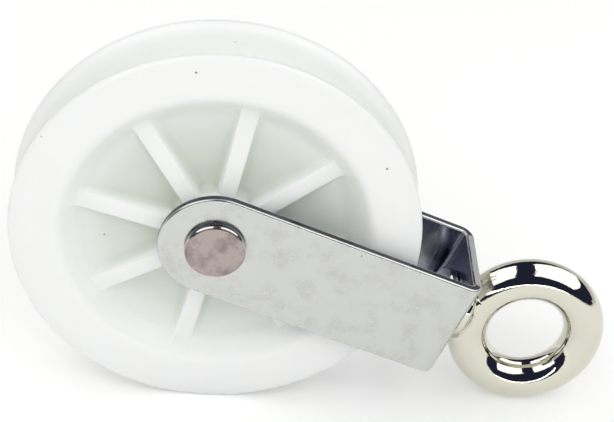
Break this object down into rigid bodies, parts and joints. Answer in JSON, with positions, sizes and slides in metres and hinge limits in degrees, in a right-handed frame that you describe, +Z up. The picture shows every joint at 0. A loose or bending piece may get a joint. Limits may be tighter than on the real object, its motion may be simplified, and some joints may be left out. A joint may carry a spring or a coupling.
{
  "type": "sailing block",
  "caption": "Strap block: a ribbed, grooved nylon sheave on a riveted axle in a U-bent stainless strap, with a polished swivel eye at the closed end.",
  "frame": {"origin": "middle of the bounding box on the surface that the block stands on", "axes": "+X along the block towards the eye, +Y along the axle towards the riveted rear head, +Z up"},
  "size_m": [0.151, 0.032, 0.1],
  "materials": {
    "nylon": "moulded natural nylon, faintly translucent",
    "strap_steel": "rolled stainless, lightly stained",
    "turned_steel": "turned stainless",
    "pin_steel": "worn stainless, warm grey",
    "polished_steel": "polished stainless"
  },
  "bodies": {
    "strap": {"strap": "strap_steel", "axle_sleeve": "turned_steel", "axle_pin": "pin_steel"},
    "sheave": {"sheave": "nylon"},
    "eye": {"eye": "polished_steel", "eye_washer": "turned_steel"}
  },
  "joints": [
    {"name": "sheave_spin", "type": "hinge", "parent": "strap", "child": "sheave", "pos_m": [-0.02553, 0, 0.05], "axis": [0, 1, 0], "continuous": true},
    {"name": "eye_swivel", "type": "hinge", "parent": "strap", "child": "eye", "pos_m": [0.05534, 0, 0.02016], "axis": [0.9382, 0, -0.3462], "continuous": true}
  ]
}
